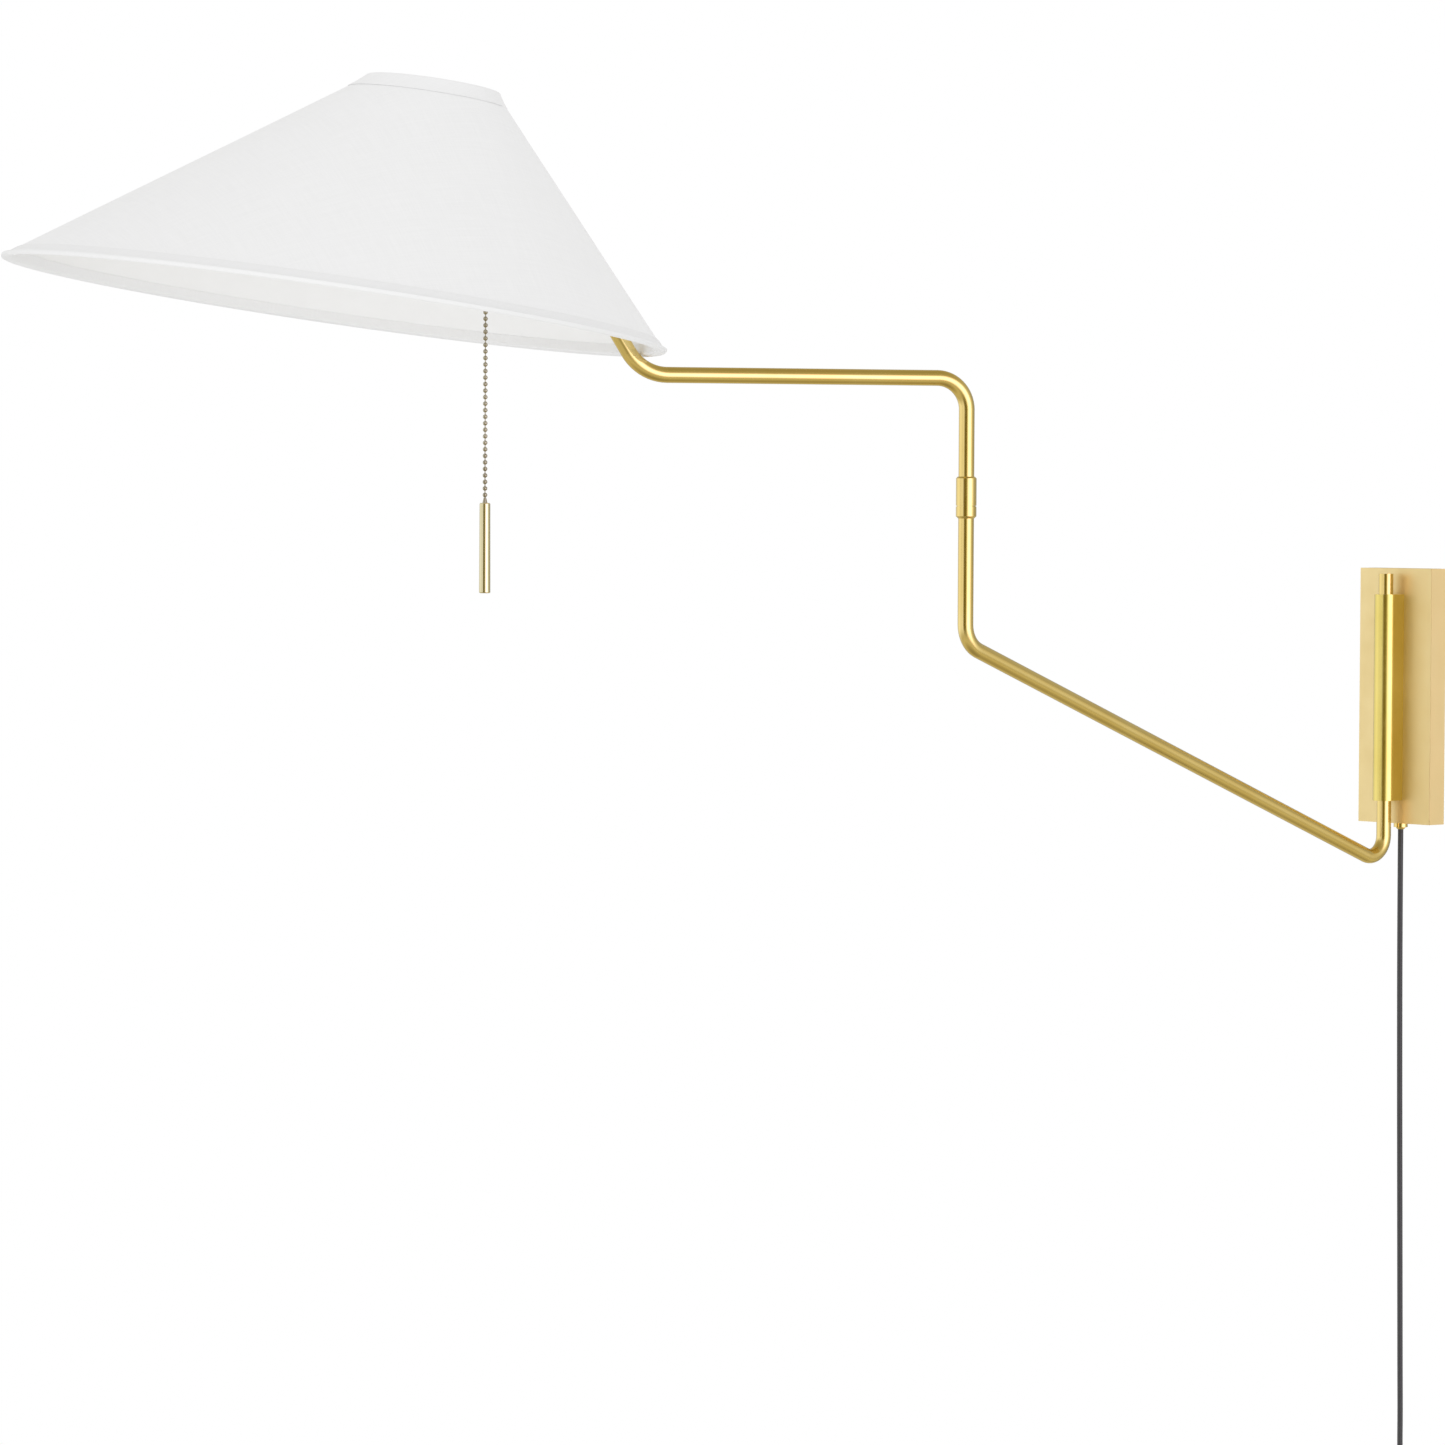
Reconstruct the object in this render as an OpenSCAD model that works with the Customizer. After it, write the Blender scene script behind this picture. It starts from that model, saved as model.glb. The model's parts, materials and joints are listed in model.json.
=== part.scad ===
// Plug-in swing arm wall light with a tipping asymmetric shade and a pull chain.
// Origin: centre of the wall plate's back face. The wall is the plane y = 0, the light
// reaches towards -Y, and +Z is up. All sizes are in millimetres.

/* [Wall plate] */
// Width of the plate
plate_w = 71; // [60:1:80]
// Height of the plate
plate_h = 192; // [186:1:210]
// Depth of the plate
plate_d = 16.5; // [16:0.5:20]
// Thickness of the plate's sheet
plate_t = 1.5; // [1:0.1:2]
// Spacing of the two wall screws
wall_screw_spacing = 83.3; // [70:0.1:90]
// Radius of the wall screw holes
wall_screw_r = 2.25; // [2:0.05:3]

/* [Arms] */
// Outer radius of the arm tubes
tube_r = 5.5; // [5.4:0.05:5.6]
// Inner radius of the arm tubes
tube_bore_r = 4.3; // [4.2:0.05:4.4]
// Distance from the plate's front to the wall pivot
pivot_out = 11; // [10.5:0.1:12]
// Horizontal reach of the lower arm between its pivots
lower_reach = 442; // [380:1:460]
// Height of the elbow bend's corner
lower_end_z = 45.6; // [20:0.1:60]
// Height of the wall bend's corner
lower_start_z = -126.8; // [-140:0.1:-115]
// Swing of the upper arm from the lower arm's line
elbow_angle = 24; // [0:1:60]
// Height of the upper arm
upper_z = 231.3; // [220:0.1:240]
// Reach of the upper arm before it rises into the shade
rise_at = 238; // [234:0.5:242]
// Slope of the rising end of the upper arm
rise_angle = 58; // [57:0.5:59]

/* [Shade] */
// Radius of the shade's lower rim
shade_bottom_r = 225; // [220:1:230]
// Radius of the shade's cone where its collar begins
shade_neck_r = 50.5; // [49.5:0.1:52]
// Radius of the shade's upper rim
shade_top_r = 45.8; // [45:0.1:47]
// Height of the shade, square to its rims
shade_h = 158.4; // [150:0.1:165]
// Offset of the upper rim towards the wall
shade_offset = 46.7; // [40:0.1:50]
// Tip of the shade: its wall side hangs lower
shade_tip = 8; // [6.5:0.5:12]
// Sideways lean of the shade
shade_lean = 0.6; // [0:0.1:1]
// Width of the sewn trim at the lower rim and height of the collar
trim_w = 7; // [6:0.5:8]

/* [Cord] */
// Diameter of the power cord
cord_d = 4.2; // [4:0.1:4.6]
// Middle radius of the stored coil
coil_r = 25.2; // [25:0.1:26]

/* [Hidden] */
$fn = 64;
eps = 0.01;

// Wall plate and its inside
plate_front = -plate_d;
plate_inner_front = plate_front + plate_t;
bracket_w = 58;
bracket_t = 2;
cover_screw_x = 22;
cover_screw_y = -7;
cover_screw_r = 1.5;
barrel_screw_z = 50;
barrel_screw_r = 2;
lead_y = -8.25;
lead_r = 1.8;

// Wall pivot: a D-shaped barrel, two bushes and the arm tube through them
pivot_y = plate_front - pivot_out;
barrel_r = 8.5;
barrel_top = 76.5;
barrel_bottom = -78.5;
barrel_bore_r = 6.5;
bush_h = 12;
running_gap = 0.05;
collar_h = 6;
pin_top = 92;
cap_t = 1.5;
window_h = 24;
wall_bend_r = 15;
elbow_bend_r = 20;
joint_proud = 0.03;

// Elbow, counted up from the lower tube's end
elbow_y = pivot_y - lower_reach;
ring_bottom = 133.3;
ring_top = 141.7;
washer_top = 142.25;
sleeve_bottom = 142.3;
sleeve_top = 162.6;
sleeve_r = 7.2;
tube_stop_z = 140;
upper_tube_z = 152;
stud_bottom = 112;
stud_groove_z = 147.5;
set_screw_r = 1.5;
wire_r = 2;

// Upper arm
upper_bend_r = 22;
rise_bend_r = 33;
knuckle_z = 400;
knuckle_back = 17.7;
knuckle_s = rise_at + (knuckle_z - upper_z) / tan(rise_angle);
rise_dir = [cos(rise_angle), sin(rise_angle)];
upper_end = [knuckle_s, knuckle_z] - knuckle_back * rise_dir;
cheek_t = 2.6;
eye_t = 4;
knuckle_r = 5;
tilt_pin_r = 2;

// Shade frame: its origin is the middle of the lower rim
shade_at = [454.5, 0, 275.9];
socket_x = -shade_offset;
knuckle_x = (knuckle_s - shade_at.x) * cos(shade_tip) + (knuckle_z - shade_at.z) * sin(shade_tip);
knuckle_h = -(knuckle_s - shade_at.x) * sin(shade_tip) + (knuckle_z - shade_at.z) * cos(shade_tip);
fabric_t = 0.6;
liner_t = 0.4;
glue_t = 0.02;
trim_t = 0.8;
collar_lap = 3;
neck_h = shade_h - trim_w;
trim_roll = 5.6;
wire_ring_r = 1.2;
top_ring_h = shade_h - 3.4;
top_ring_r = shade_top_r - 1.6;
collar_bore_r = top_ring_r - 0.15;

// Lamp holder, heights counted in the shade frame
cap_top = 140;
strap_t = 4;
shell_top = 127;
shell_bottom = 92;
shell_r = 17.2;
nipple_r = 5;
nut_h = 3;
hub_h = 2;
hub_z = cap_top + strap_t + nut_h;
bulb_r = 24;
bulb_centre_h = 53;

// Pull chain, in the upper arm's frame
chain_s = 353;
chain_side = 12.7;
chain_top = 364.9;
bead_r = 1.6;
bead_pitch = 4.42;
beads = 50;
bar_top = 142.9;
bar_bottom = 81.7;
bar_r = 3.85;
bar_top_r = 3.65;
outlet_h = (chain_top + 6 - shade_at.z) * cos(shade_tip) - (chain_s - shade_at.x) * sin(shade_tip);
outlet_out = (chain_s - shade_at.x) * cos(shade_tip) + (chain_top + 6 - shade_at.z) * sin(shade_tip)
    - socket_x;

// Cord: it drops from the gland to a coil that hangs below, and a tail ends in the plug
cord_r = cord_d / 2;
gland_bottom = -100.8;
hang_x = 5;
coil_top = -600;
coil_outer = coil_r + 2.3 * cord_d;
coil_inner = coil_r - 2.3 * cord_d;
coil_z = coil_top - coil_outer;
coil_depth = 2.1 * cord_d;
plug_top = -710;
blade_top = -748;
drop_route = [[0, lead_y, gland_bottom], [0, lead_y, -115], [0.1, lead_y, -150],
    [0.4, lead_y, -200], [0.9, lead_y, -250], [1.5, lead_y, -300], [2.2, lead_y, -350],
    [2.9, lead_y, -400], [3.6, lead_y, -450], [4.3, lead_y, -500], [hang_x, lead_y, -560],
    [hang_x, -8.6, -578], [3.9, -9.2, -587], [0.6, -9.8, -594.6], [-4.6, -10.2, -601.4]];
tail_route = [[-4.6, -6.3, -668.4], [0.6, -6.8, -675.2], [3.9, -7.4, -683],
    [hang_x, -8, -691.5], [hang_x, lead_y, -700], [hang_x, lead_y, plug_top]];
supply_route = [[0, lead_y, gland_bottom], [0, lead_y, -88], [-2, lead_y, -80], [-9, lead_y, -68],
    [-15, lead_y, -58], [-16, lead_y, -48], [-16, lead_y, -34]];
fixture_route = [[-16, lead_y, -18], [-16, lead_y, -12], [-13, -8.5, -5], [-7, -9.5, -1],
    [-2, -11, 0], [0, -14, 0], [0, -20.6, 0]];

// ---- Shared shapes ----

// Points along a route, no further apart than step
function finer(route, step) = [
    for (i = [0 : len(route) - 2])
        let (a = route[i], b = route[i + 1], n = ceil(norm(b - a) / step))
            for (k = [0 : n - 1]) a + (b - a) * k / n,
    route[len(route) - 1]];

function unit(v) = v / norm(v);

// A round tube of radius r swept along the route's points
module swept_tube(route, r, step, sides = 8) {
    points = finer(route, step);
    last = len(points) - 1;
    rings = [for (i = [0 : last])
        let (t = unit(points[min(i + 1, last)] - points[max(i - 1, 0)]),
            side = unit(cross(t, abs(t.y) < 0.9 ? [0, 1, 0] : [1, 0, 0])), up = cross(t, side))
            for (k = [0 : sides - 1])
                points[i] + r * (cos(360 * k / sides) * side + sin(360 * k / sides) * up)];
    walls = [for (i = [0 : last - 1], k = [0 : sides - 1])
        let (a = i * sides, m = (k + 1) % sides)
            [a + k, a + m, a + sides + m, a + sides + k]];
    polyhedron(rings, concat(walls, [[for (k = [sides - 1 : -1 : 0]) k]],
        [[for (k = [0 : sides - 1]) last * sides + k]]), convexity = 4);
}

// A rod of radius r along corner points in the XZ plane, rounded at each corner by radii.
// Where proud is over 0, a band that much bigger joins each bend to its straights.
module bent_rod(corners, radii, r, proud = 0) {
    band = 0.6;
    last = len(corners) - 1;
    dirs = [for (i = [0 : last - 1]) unit(corners[i + 1] - corners[i])];
    turns = [for (i = [1 : last - 1]) acos(dirs[i - 1] * dirs[i])];
    cut = [for (i = [0 : last]) i == 0 || i == last ? 0 : radii[i - 1] * tan(turns[i - 1] / 2)];
    for (i = [0 : last - 1]) {
        a = corners[i] + dirs[i] * cut[i];
        b = corners[i + 1] - dirs[i] * cut[i + 1];
        translate([a.x, 0, a.y]) rotate([0, atan2(dirs[i].x, dirs[i].y), 0]) {
            cylinder(r = r, h = norm(b - a));
            if (proud > 0 && i > 0) translate([0, 0, -band / 2])
                cylinder(r = r + proud, h = band);
            if (proud > 0 && i < last - 1) translate([0, 0, norm(b - a) - band / 2])
                cylinder(r = r + proud, h = band);
        }
    }
    for (i = [1 : last - 1]) {
        before = dirs[i - 1];
        after = dirs[i];
        centre = corners[i] + unit(after - before) * radii[i - 1] / cos(turns[i - 1] / 2);
        left = before.x * after.y - before.y * after.x > 0;
        from = (left ? corners[i] - before * cut[i] : corners[i] + after * cut[i]) - centre;
        translate([centre.x, 0, centre.y]) rotate([90, 0, 0]) rotate([0, 0, atan2(from.y, from.x)])
            rotate_extrude(angle = turns[i - 1]) translate([radii[i - 1], 0]) circle(r);
    }
}

// A list of corners made longer at both ends
function longer(corners, by) = let (n = len(corners) - 1)
    [for (i = [0 : n]) i == 0 ? corners[0] - by * unit(corners[1] - corners[0])
        : i == n ? corners[n] + by * unit(corners[n] - corners[n - 1]) : corners[i]];

// A rod along -Y from the point p
module rod_forward(p, r, h) translate(p) rotate([90, 0, 0]) cylinder(r = r, h = h);

module ring(r, bore, h) difference() {
    cylinder(r = r, h = h);
    translate([0, 0, -1]) cylinder(r = bore, h = h + 2);
}

module hex_nut(flats, bore, h) difference() {
    cylinder(r = flats / sqrt(3), h = h, $fn = 6);
    translate([0, 0, -1]) cylinder(r = bore, h = h + 2);
}

// Frames: each places its children in one part's own axes
module at_wall_pivot() translate([0, pivot_y, 0]) rotate([0, 0, -90]) children();
module at_elbow() translate([0, elbow_y, 0]) rotate([0, 0, -90 - elbow_angle]) children();
module at_knuckle() at_elbow() translate([knuckle_s, 0, knuckle_z])
    rotate([0, 90 - rise_angle, 0]) children();
module at_shade() at_elbow() translate(shade_at) rotate([0, -shade_tip, 0]) children();
module at_socket() at_shade() translate([socket_x, 0, 0]) children();
module at_rims() at_shade() translate([0, 0, hub_z]) rotate([-shade_lean, 0, 0])
    translate([0, 0, -hub_z]) children();
module at_chain() at_elbow() translate([chain_s, chain_side, 0]) children();
module at_coil() translate([hang_x, lead_y, coil_z]) rotate([90, 0, 0]) children();

// ---- Wall plate ----

module cover_outline() {
    bevel = 0.4;
    half = plate_w / 2;
    polygon([[-half, 0], [-half, plate_front + bevel], [-half + bevel, plate_front],
        [half - bevel, plate_front], [half, plate_front + bevel], [half, 0]]);
}

module backplate_cover() color("khaki") difference() {
    linear_extrude(plate_h, center = true) cover_outline();
    translate([-plate_w / 2 + plate_t, plate_inner_front, -plate_h / 2 + plate_t])
        cube([plate_w - 2 * plate_t, plate_d, plate_h - 2 * plate_t]);
    for (z = [-barrel_screw_z, barrel_screw_z])
        rod_forward([0, 0, z], barrel_screw_r + 0.1, plate_d + 1);
    rod_forward([0, 0, 0], 3, plate_d + 1);
    for (x = [-cover_screw_x, cover_screw_x])
        translate([x, cover_screw_y, -plate_h / 2 - 1]) cylinder(r = cover_screw_r + 0.1, h = 4);
    translate([0, lead_y, -plate_h / 2 - 1]) cylinder(r = 4, h = 4);
}

// Steel strap that is screwed to the wall; the cover hooks over its top tab
module wall_bracket() color("silver") difference() {
    tab_out = 12;
    top = plate_h / 2 - plate_t - 0.1;
    union() {
        translate([-bracket_w / 2, -bracket_t, -plate_h / 2 + plate_t])
            cube([bracket_w, bracket_t, top + plate_h / 2 - plate_t]);
        translate([-15, -tab_out, top - bracket_t]) cube([30, tab_out, bracket_t]);
        for (x = [-cover_screw_x, cover_screw_x])
            translate([x - 7, -tab_out, -plate_h / 2 + plate_t]) cube([14, tab_out, bracket_t]);
    }
    for (z = [-wall_screw_spacing / 2, wall_screw_spacing / 2])
        rod_forward([0, 1, z], wall_screw_r, bracket_t + 2);
    for (x = [-cover_screw_x, cover_screw_x])
        translate([x, cover_screw_y, -plate_h / 2]) cylinder(r = cover_screw_r, h = 8);
}

module cover_screws() color("goldenrod") for (x = [-cover_screw_x, cover_screw_x])
    translate([x, cover_screw_y, -plate_h / 2]) {
        cylinder(r = cover_screw_r, h = 7);
        translate([0, 0, -0.6]) difference() {
            cylinder(r = 2.5, h = 0.6);
            translate([-3, -0.4, -eps]) cube([6, 0.8, 0.3]);
        }
    }

module barrel() color("gold") difference() {
    translate([0, 0, barrel_bottom]) linear_extrude(barrel_top - barrel_bottom) union() {
        translate([0, pivot_y]) circle(barrel_r);
        translate([-barrel_r, pivot_y]) square([2 * barrel_r, pivot_out]);
    }
    translate([0, pivot_y, barrel_bottom - 1])
        cylinder(r = barrel_bore_r, h = barrel_top - barrel_bottom + 2);
    for (z = [-barrel_screw_z, barrel_screw_z])
        rod_forward([0, plate_front + 1, z], barrel_screw_r, 7);
    rod_forward([0, plate_front + 1, 0], 3, 7);
}

module barrel_screws() color("silver") for (z = [-barrel_screw_z, barrel_screw_z]) {
    rod_forward([0, plate_inner_front, z], barrel_screw_r, 5.4);
    difference() {
        rod_forward([0, plate_inner_front + 2.6, z], 3.5, 2.6);
        translate([-4, plate_inner_front + 1.6, z - 0.5]) cube([8, 1.1, 1]);
    }
}

module barrel_bushes() color("ivory")
    for (z = [barrel_bottom, barrel_top - bush_h])
        translate([0, pivot_y, z]) ring(barrel_bore_r, tube_r + running_gap, bush_h);

module cord_gland() color("goldenrod") translate([0, lead_y, -plate_h / 2]) difference() {
    union() {
        translate([0, 0, -3.2]) cylinder(r = 5.3, h = 3.2);
        translate([0, 0, plate_h / 2 + gland_bottom]) cylinder(r1 = 2.7, r2 = 3.9, h = 1.7);
        cylinder(r = 4, h = 6);
    }
    translate([0, 0, -8]) cylinder(r = cord_r, h = 16);
}

module gland_nut() color("silver") translate([0, lead_y, -plate_h / 2 + plate_t])
    hex_nut(11, 4, 3);

module cord_clamp() color("silver") translate([-9, 0, -68]) difference() {
    translate([-7, -12.5, -4]) cube([14, 12.5 - bracket_t, 8]);
    translate([-5.5, -11, -5]) cube([11, 6, 10]);
}

module supply_lead() color("dimgray") swept_tube(supply_route, cord_r - running_gap, 6);

module terminal_block() color("ivory") difference() {
    translate([-26, -13, -34]) cube([20, 11, 16]);
    for (x = [-21, -11]) rod_forward([x, -10, -26], 2, 4);
}

module terminal_screws() color("silver") for (x = [-21, -11])
    rod_forward([x, -10, -26], 2, 2.4);

module fixture_lead() color("dimgray") swept_tube(fixture_route, lead_r, 6);

// ---- Cord ----

module cord_drop() color("dimgray") swept_tube(drop_route, cord_r, 12);

module cord_coil() color("dimgray") at_coil()
    rotate_extrude() translate([coil_inner, -coil_depth / 2])
        square([coil_outer - coil_inner, coil_depth]);

module cord_tail() color("dimgray") swept_tube(tail_route, cord_r, 11);

// A strap round the top of the coil
module cord_tie() color("black") at_coil() difference() {
    wide = 8;
    thick = 1.5;
    deep = coil_outer - coil_inner;
    translate([-wide / 2, coil_inner - thick, -coil_depth / 2 - thick])
        cube([wide, deep + 2 * thick, coil_depth + 2 * thick]);
    translate([-wide, coil_inner, -coil_depth / 2]) cube([2 * wide, deep, coil_depth]);
    rotate_extrude() translate([coil_inner, -coil_depth / 2])
        square([deep, coil_depth]);
}

module plug_body() color("dimgray") translate([hang_x, lead_y, 0]) {
    translate([0, 0, plug_top - 14]) cylinder(r1 = 4.2, r2 = 3, h = 14);
    translate([-12, -6, blade_top]) cube([24, 12, 24 - 4]);
    translate([0, 0, blade_top + 20]) intersection() {
        cylinder(r1 = 12, r2 = 4.5, h = 8);
        translate([-12, -6, 0]) cube([24, 12, 8]);
    }
}

module plug_blades() color("silver") for (x = [-6.35, 6.35])
    translate([hang_x + x - 0.75, lead_y - 3.2, blade_top - 16.5]) difference() {
        cube([1.5, 6.4, 16.5]);
        translate([-1, 3.2, 4]) rotate([0, 90, 0]) cylinder(r = 1.6, h = 4);
    }

// ---- Lower arm ----

lower_corners = [[0, pin_top - cap_t], [0, lower_start_z], [lower_reach, lower_end_z],
    [lower_reach, tube_stop_z]];
lower_radii = [wall_bend_r, elbow_bend_r];

module lower_arm_tube() color("darkgoldenrod") at_wall_pivot() difference() {
    bent_rod(lower_corners, lower_radii, tube_r, joint_proud);
    bent_rod(longer(lower_corners, 1), lower_radii, tube_bore_r, joint_proud);
    translate([-tube_r - 1, -tube_r, -window_h / 2]) cube([tube_r - 1, 2 * tube_r, window_h]);
}

module tube_end_cap() color("gold") at_wall_pivot() {
    translate([0, 0, pin_top - cap_t]) cylinder(r = tube_r, h = cap_t);
    translate([0, 0, pin_top - cap_t - 6]) cylinder(r = tube_bore_r, h = 6 + eps);
}

// Two rings on the tube keep it from dropping or lifting between the bushes
module swing_collars() color("silver") at_wall_pivot()
    for (z = [barrel_bottom + bush_h + running_gap, barrel_top - bush_h - collar_h - running_gap])
        translate([0, 0, z]) ring(barrel_bore_r - 0.2, tube_r, collar_h);

module elbow_ring() color("gold") translate([0, elbow_y, ring_bottom]) difference() {
    bevel = 1.6;
    union() {
        cylinder(r1 = sleeve_r - bevel, r2 = sleeve_r, h = bevel);
        translate([0, 0, bevel]) cylinder(r = sleeve_r, h = ring_top - ring_bottom - bevel);
    }
    translate([0, 0, -1]) cylinder(r = tube_r, h = tube_stop_z - ring_bottom + 1);
    cylinder(r = tube_bore_r, h = 20);
}

module elbow_stud() color("silver") translate([0, elbow_y, 0]) difference() {
    translate([0, 0, stud_bottom]) cylinder(r = tube_bore_r, h = upper_tube_z - stud_bottom - 0.2);
    translate([0, 0, stud_bottom - 1]) cylinder(r = wire_r + 0.6, h = 60);
    translate([0, 0, stud_groove_z - 1.7]) ring(tube_bore_r + 1, 3.4, 3.4);
}

module elbow_washer() color("ivory") translate([0, elbow_y, ring_top])
    ring(sleeve_r - 0.6, tube_bore_r, washer_top - ring_top);

module lower_arm_wire() color("dimgray") at_wall_pivot() {
    start_z = 60;
    bent_rod([[0, start_z], lower_corners[1], lower_corners[2], [lower_reach, ring_top]],
        lower_radii, wire_r, joint_proud);
}

// ---- Upper arm ----

upper_corners = [[0, upper_tube_z], [0, upper_z], [rise_at, upper_z], upper_end];
upper_radii = [upper_bend_r, rise_bend_r];

module upper_arm_tube() color("gold") at_elbow() difference() {
    bent_rod(upper_corners, upper_radii, tube_r, joint_proud);
    bent_rod(longer(upper_corners, 1), upper_radii, tube_bore_r, joint_proud);
}

module elbow_sleeve() color("gold") translate([0, elbow_y, 0]) difference() {
    bevel = 1.2;
    union() {
        translate([0, 0, sleeve_bottom])
            cylinder(r = sleeve_r, h = sleeve_top - sleeve_bottom - bevel);
        translate([0, 0, sleeve_top - bevel])
            cylinder(r1 = sleeve_r, r2 = sleeve_r - bevel, h = bevel);
    }
    translate([0, 0, sleeve_bottom - 1]) cylinder(r = tube_bore_r + running_gap, h = 20);
    translate([0, 0, upper_tube_z]) cylinder(r = tube_r, h = 20);
    translate([0, 0, stud_groove_z]) rotate([0, -90, -45]) cylinder(r = set_screw_r, h = 20);
}

module sleeve_set_screw() color("silver") translate([0, elbow_y, stud_groove_z])
    rotate([0, -90, -45]) difference() {
        translate([0, 0, 3.7]) cylinder(r = set_screw_r, h = 3.2);
        translate([-2, -0.3, 6.2]) cube([4, 0.6, 1]);
    }

module upper_arm_wire() color("dimgray") at_elbow()
    bent_rod([[0, sleeve_bottom], upper_corners[1], upper_corners[2],
        upper_end - 12 * rise_dir], upper_radii, wire_r, joint_proud);

module knuckle_fork() color("gold") at_knuckle() difference() {
    cheek_out = eye_t / 2 + 0.1 + cheek_t;
    union() {
        translate([0, 0, -knuckle_back - 10]) cylinder(r = tube_bore_r, h = 10 + eps);
        translate([0, 0, -knuckle_back]) cylinder(r = tube_r, h = knuckle_back - 13);
        translate([-knuckle_r + 1, -cheek_out, -14]) cube([2 * knuckle_r - 2, 2 * cheek_out, 14]);
        rotate([90, 0, 0]) cylinder(r = knuckle_r, h = 2 * cheek_out, center = true);
    }
    translate([-10, -eye_t / 2 - 0.1, -10]) cube([20, eye_t + 0.2, 20]);
    rotate([90, 0, 0]) cylinder(r = tilt_pin_r, h = 30, center = true);
    translate([0, 0, -40]) cylinder(r = 1.6, h = 40);
}

module tilt_bolt() color("gold") at_knuckle() rotate([90, 0, 0]) {
    half = eye_t / 2 + 0.1 + cheek_t;
    translate([0, 0, -half - 5]) cylinder(r = tilt_pin_r, h = 2 * half + 5);
    translate([0, 0, half]) difference() {
        cylinder(r = 3.6, h = 2.4);
        translate([-4, -0.5, 1.4]) cube([8, 1, 2]);
    }
}

module tilt_nut() color("gold") at_knuckle() rotate([90, 0, 0]) {
    half = eye_t / 2 + 0.1 + cheek_t;
    flutes = 14;
    translate([0, 0, -half - 4]) difference() {
        cylinder(r = 5, h = 4);
        translate([0, 0, -1]) cylinder(r = tilt_pin_r, h = 6);
        for (i = [0 : flutes - 1]) rotate([0, 0, i * 360 / flutes])
            translate([5.3, 0, -1]) cylinder(r = 0.7, h = 6, $fn = 16);
    }
}

// ---- Lamp holder ----

// Strap from the knuckle's eye to the lamp holder's threaded tube
module socket_bracket() color("gold") at_shade() difference() {
    union() {
        translate([knuckle_x, 0, knuckle_h]) rotate([90, 0, 0])
            cylinder(r = knuckle_r, h = eye_t, center = true);
        translate([knuckle_x, -eye_t / 2, cap_top - 2])
            cube([socket_x - 9 - knuckle_x - 5, eye_t, strap_t + 2]);
        translate([knuckle_x + 6, -eye_t / 2, cap_top])
            cube([socket_x - knuckle_x - 8, eye_t, strap_t]);
        translate([socket_x, 0, cap_top]) cylinder(r = 10, h = strap_t);
    }
    translate([knuckle_x, 0, knuckle_h]) rotate([90, 0, 0])
        cylinder(r = tilt_pin_r + running_gap, h = 20, center = true);
    translate([socket_x, 0, cap_top - 5]) cylinder(r = nipple_r, h = 20);
}

module socket_nipple() color("gold") at_socket() translate([0, 0, cap_top - 8])
    ring(nipple_r, 3, 8 + strap_t + 2 * nut_h + hub_h + 1);

module nipple_nuts() color("gold") at_socket()
    for (h = [cap_top + strap_t, cap_top + strap_t + nut_h + hub_h])
        translate([0, 0, h]) hex_nut(14, nipple_r, nut_h);

module socket_cap() color("gold") at_socket() rotate_extrude() difference() {
    shoulder = 8.5;
    union() {
        translate([nipple_r, shell_top])
            square([shell_r + 0.3 - nipple_r, cap_top - shoulder - shell_top]);
        translate([nipple_r, shell_top])
            square([shell_r + 0.3 - shoulder - nipple_r, cap_top - shell_top]);
        intersection() {
            translate([shell_r + 0.3 - shoulder, cap_top - shoulder]) circle(shoulder);
            translate([nipple_r, shell_top]) square([20, cap_top - shell_top]);
        }
    }
    translate([-1, shell_top - 1]) square([shell_r, cap_top - shoulder - shell_top + 1]);
    translate([-1, shell_top - 1]) square([nipple_r + 4, cap_top - shell_top]);
}

module socket_shell() color("gold") at_socket() difference() {
    union() {
        translate([0, 0, shell_bottom]) ring(shell_r, shell_r - 0.6, shell_top - shell_bottom);
        translate([0, 0, shell_bottom]) rotate_extrude() translate([shell_r, 1.2]) circle(0.9);
    }
    outlet_hole();
}

module outlet_hole() translate([0, 0, outlet_h]) rotate([0, 0, atan2(chain_side, outlet_out)])
    rotate([0, 90, 0]) cylinder(r = 3.5, h = 40);

module socket_insulator() color("saddlebrown") at_socket() difference() {
    translate([0, 0, shell_bottom + 1])
        ring(shell_r - 0.65, shell_r - 1.3, shell_top - shell_bottom - 2);
    outlet_hole();
}

module socket_switch_block() color("black") at_socket() difference() {
    translate([0, 0, 113]) ring(15, 3, 13);
    for (side = [-1, 1]) translate([side * 9, 0, 120]) cylinder(r = 1.5, h = 10);
}

module screw_shell() color("gainsboro") at_socket() translate([0, 0, shell_bottom + 2])
    ring(14.1, 13.6, 19);

module centre_contact() color("goldenrod") at_socket() translate([0, 0, 110.6])
    cylinder(r = 3.2, h = 2.4);

// Side tube and bell mouth that lead the chain out of the lamp holder
module chain_outlet() color("gold") difference() {
    union() {
        at_socket() translate([0, 0, outlet_h])
            rotate([0, 0, atan2(chain_side, outlet_out)]) rotate([0, 90, 0])
                translate([0, 0, shell_r - 1])
                    cylinder(r = 3.4, h = norm([outlet_out, chain_side]) - shell_r);
        at_chain() translate([0, 0, chain_top + 1.8]) cylinder(r1 = 5.2, r2 = 4.4, h = 9);
    }
    at_chain() translate([0, 0, chain_top]) cylinder(r = 2.8, h = 8);
}

// Glass: a round bulb that narrows to its neck
module bulb_glass() color("white") at_socket() rotate_extrude() difference() {
    bulb_half(0);
    bulb_half(0.8);
}

module bulb_half(inset) intersection() {
    neck_top = shell_bottom - 0.5;
    union() {
        translate([0, bulb_centre_h]) circle(bulb_r - inset);
        polygon([[0, bulb_centre_h], [18.4 - inset, bulb_centre_h + 15.4],
            [14.6 - inset, bulb_centre_h + 25], [13 - inset, neck_top + 3 * inset],
            [0, neck_top + 3 * inset]]);
    }
    square([60, 200]);
}

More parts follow.
